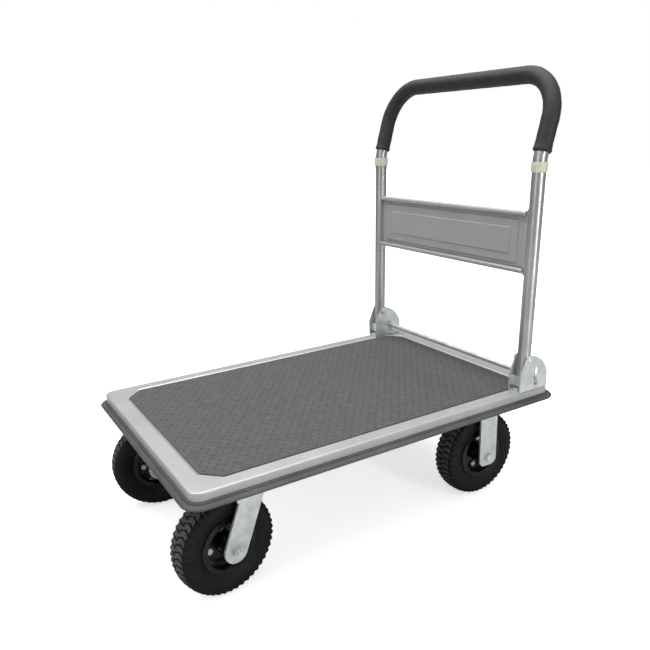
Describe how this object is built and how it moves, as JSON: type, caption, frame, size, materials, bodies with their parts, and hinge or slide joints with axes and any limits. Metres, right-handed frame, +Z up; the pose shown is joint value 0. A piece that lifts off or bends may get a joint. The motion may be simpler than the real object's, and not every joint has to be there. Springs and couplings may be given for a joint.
{
  "type": "folding platform cart",
  "caption": "Folding platform cart: grey steel deck with a dotted mat, bumper strip, fold-down tube handle with a panel, and black pneumatic casters, the front ones swivelling.",
  "frame": {"origin": "On the floor, under the middle of the whole cart's box, handle upright and front casters trailing towards the front.", "axes": "+Z up. +X from the front of the deck towards the handle. +Y to the right of a user who stands at the handle and faces the deck."},
  "size_m": [0.9386, 0.63, 0.9905],
  "materials": {
    "deck_steel": "satin light grey paint",
    "mat_rubber": "ribbed non-slip sheet with raised dots",
    "bumper_rubber": "soft moulded strip, low sheen",
    "painted_tube": "smooth silver-grey paint",
    "panel_steel": "satin silver-grey paint",
    "zinc_steel": "bright zinc plating, bluish",
    "grip_foam": "matte foam sleeve",
    "ring_plastic": "cream moulded plastic",
    "rim_paint": "gloss black paint",
    "tyre_rubber": "moulded tread, matte",
    "tube_rubber": "soft butyl rubber",
    "bearing_steel": "bright steel",
    "channel_steel": "light grey paint"
  },
  "bodies": {
    "root": {"deck_tray": "deck_steel", "deck_mat": "mat_rubber", "bumper": "bumper_rubber", "deck_channels": "channel_steel", "bracket_left": "zinc_steel", "bracket_right": "zinc_steel", "bracket_bolts": "zinc_steel", "bracket_nuts": "zinc_steel", "pivot_bolts": "zinc_steel", "pivot_nuts": "zinc_steel", "lock_springs": "bearing_steel", "caster_mount_bolts": "zinc_steel", "caster_mount_nuts": "zinc_steel", "front_caster_plates": "zinc_steel", "swivel_bearings": "zinc_steel", "kingpins": "zinc_steel", "rear_fork_left": "zinc_steel", "rear_fork_right": "zinc_steel", "rear_axle_bolts": "zinc_steel", "rear_axle_nuts": "zinc_steel", "rear_axle_sleeves": "zinc_steel"},
    "handle": {"handle_tube": "painted_tube", "handle_grip": "grip_foam", "handle_rings": "ring_plastic", "handle_panel": "panel_steel"},
    "lock": {"lock_rod": "zinc_steel", "lock_rod_clips": "zinc_steel"},
    "swivel_left": {"swivel_fork_left": "zinc_steel", "swivel_axle_bolt_left": "zinc_steel", "swivel_axle_nut_left": "zinc_steel", "swivel_axle_sleeve_left": "zinc_steel"},
    "swivel_right": {"swivel_fork_right": "zinc_steel", "swivel_axle_bolt_right": "zinc_steel", "swivel_axle_nut_right": "zinc_steel", "swivel_axle_sleeve_right": "zinc_steel"},
    "front_left_wheel": {"front_left_tyre": "tyre_rubber", "front_left_inner_tube": "tube_rubber", "front_left_rim_halves": "rim_paint", "front_left_hub": "rim_paint", "front_left_bearings": "bearing_steel", "front_left_rim_bolts": "zinc_steel"},
    "front_right_wheel": {"front_right_tyre": "tyre_rubber", "front_right_inner_tube": "tube_rubber", "front_right_rim_halves": "rim_paint", "front_right_hub": "rim_paint", "front_right_bearings": "bearing_steel", "front_right_rim_bolts": "zinc_steel"},
    "rear_left_wheel": {"rear_left_tyre": "tyre_rubber", "rear_left_inner_tube": "tube_rubber", "rear_left_rim_halves": "rim_paint", "rear_left_hub": "rim_paint", "rear_left_bearings": "bearing_steel", "rear_left_rim_bolts": "zinc_steel"},
    "rear_right_wheel": {"rear_right_tyre": "tyre_rubber", "rear_right_inner_tube": "tube_rubber", "rear_right_rim_halves": "rim_paint", "rear_right_hub": "rim_paint", "rear_right_bearings": "bearing_steel", "rear_right_rim_bolts": "zinc_steel"}
  },
  "joints": [
    {"name": "handle_fold", "type": "hinge", "parent": "root", "child": "handle", "pos_m": [0.3747, 0, 0.356], "axis": [0, -1, 0], "range_deg": [0, 98]},
    {"name": "lock_press", "type": "slide", "parent": "root", "child": "lock", "axis": [0, 0, 1], "range_m": [-0.013, 0], "stiffness_N_per_m": 300, "springref_m": 0.03, "deforming": ["lock_springs"]},
    {"name": "swivel_left", "type": "hinge", "parent": "root", "child": "swivel_left", "pos_m": [-0.318, -0.2, 0.2387], "axis": [0, 0, 1], "continuous": true},
    {"name": "swivel_right", "type": "hinge", "parent": "root", "child": "swivel_right", "pos_m": [-0.318, 0.2, 0.2387], "axis": [0, 0, 1], "continuous": true},
    {"name": "front_left_spin", "type": "hinge", "parent": "swivel_left", "child": "front_left_wheel", "pos_m": [-0.36242, -0.20719, 0.1075], "axis": [-0.1599, 0.9871, 0], "continuous": true},
    {"name": "rear_left_spin", "type": "hinge", "parent": "root", "child": "rear_left_wheel", "pos_m": [0.3112, -0.2, 0.1075], "axis": [0, 1, 0], "continuous": true},
    {"name": "front_right_spin", "type": "hinge", "parent": "swivel_right", "child": "front_right_wheel", "pos_m": [-0.36242, 0.20719, 0.1075], "axis": [0.1599, 0.9871, 0], "continuous": true},
    {"name": "rear_right_spin", "type": "hinge", "parent": "root", "child": "rear_right_wheel", "pos_m": [0.3112, 0.2, 0.1075], "axis": [0, 1, 0], "continuous": true}
  ]
}
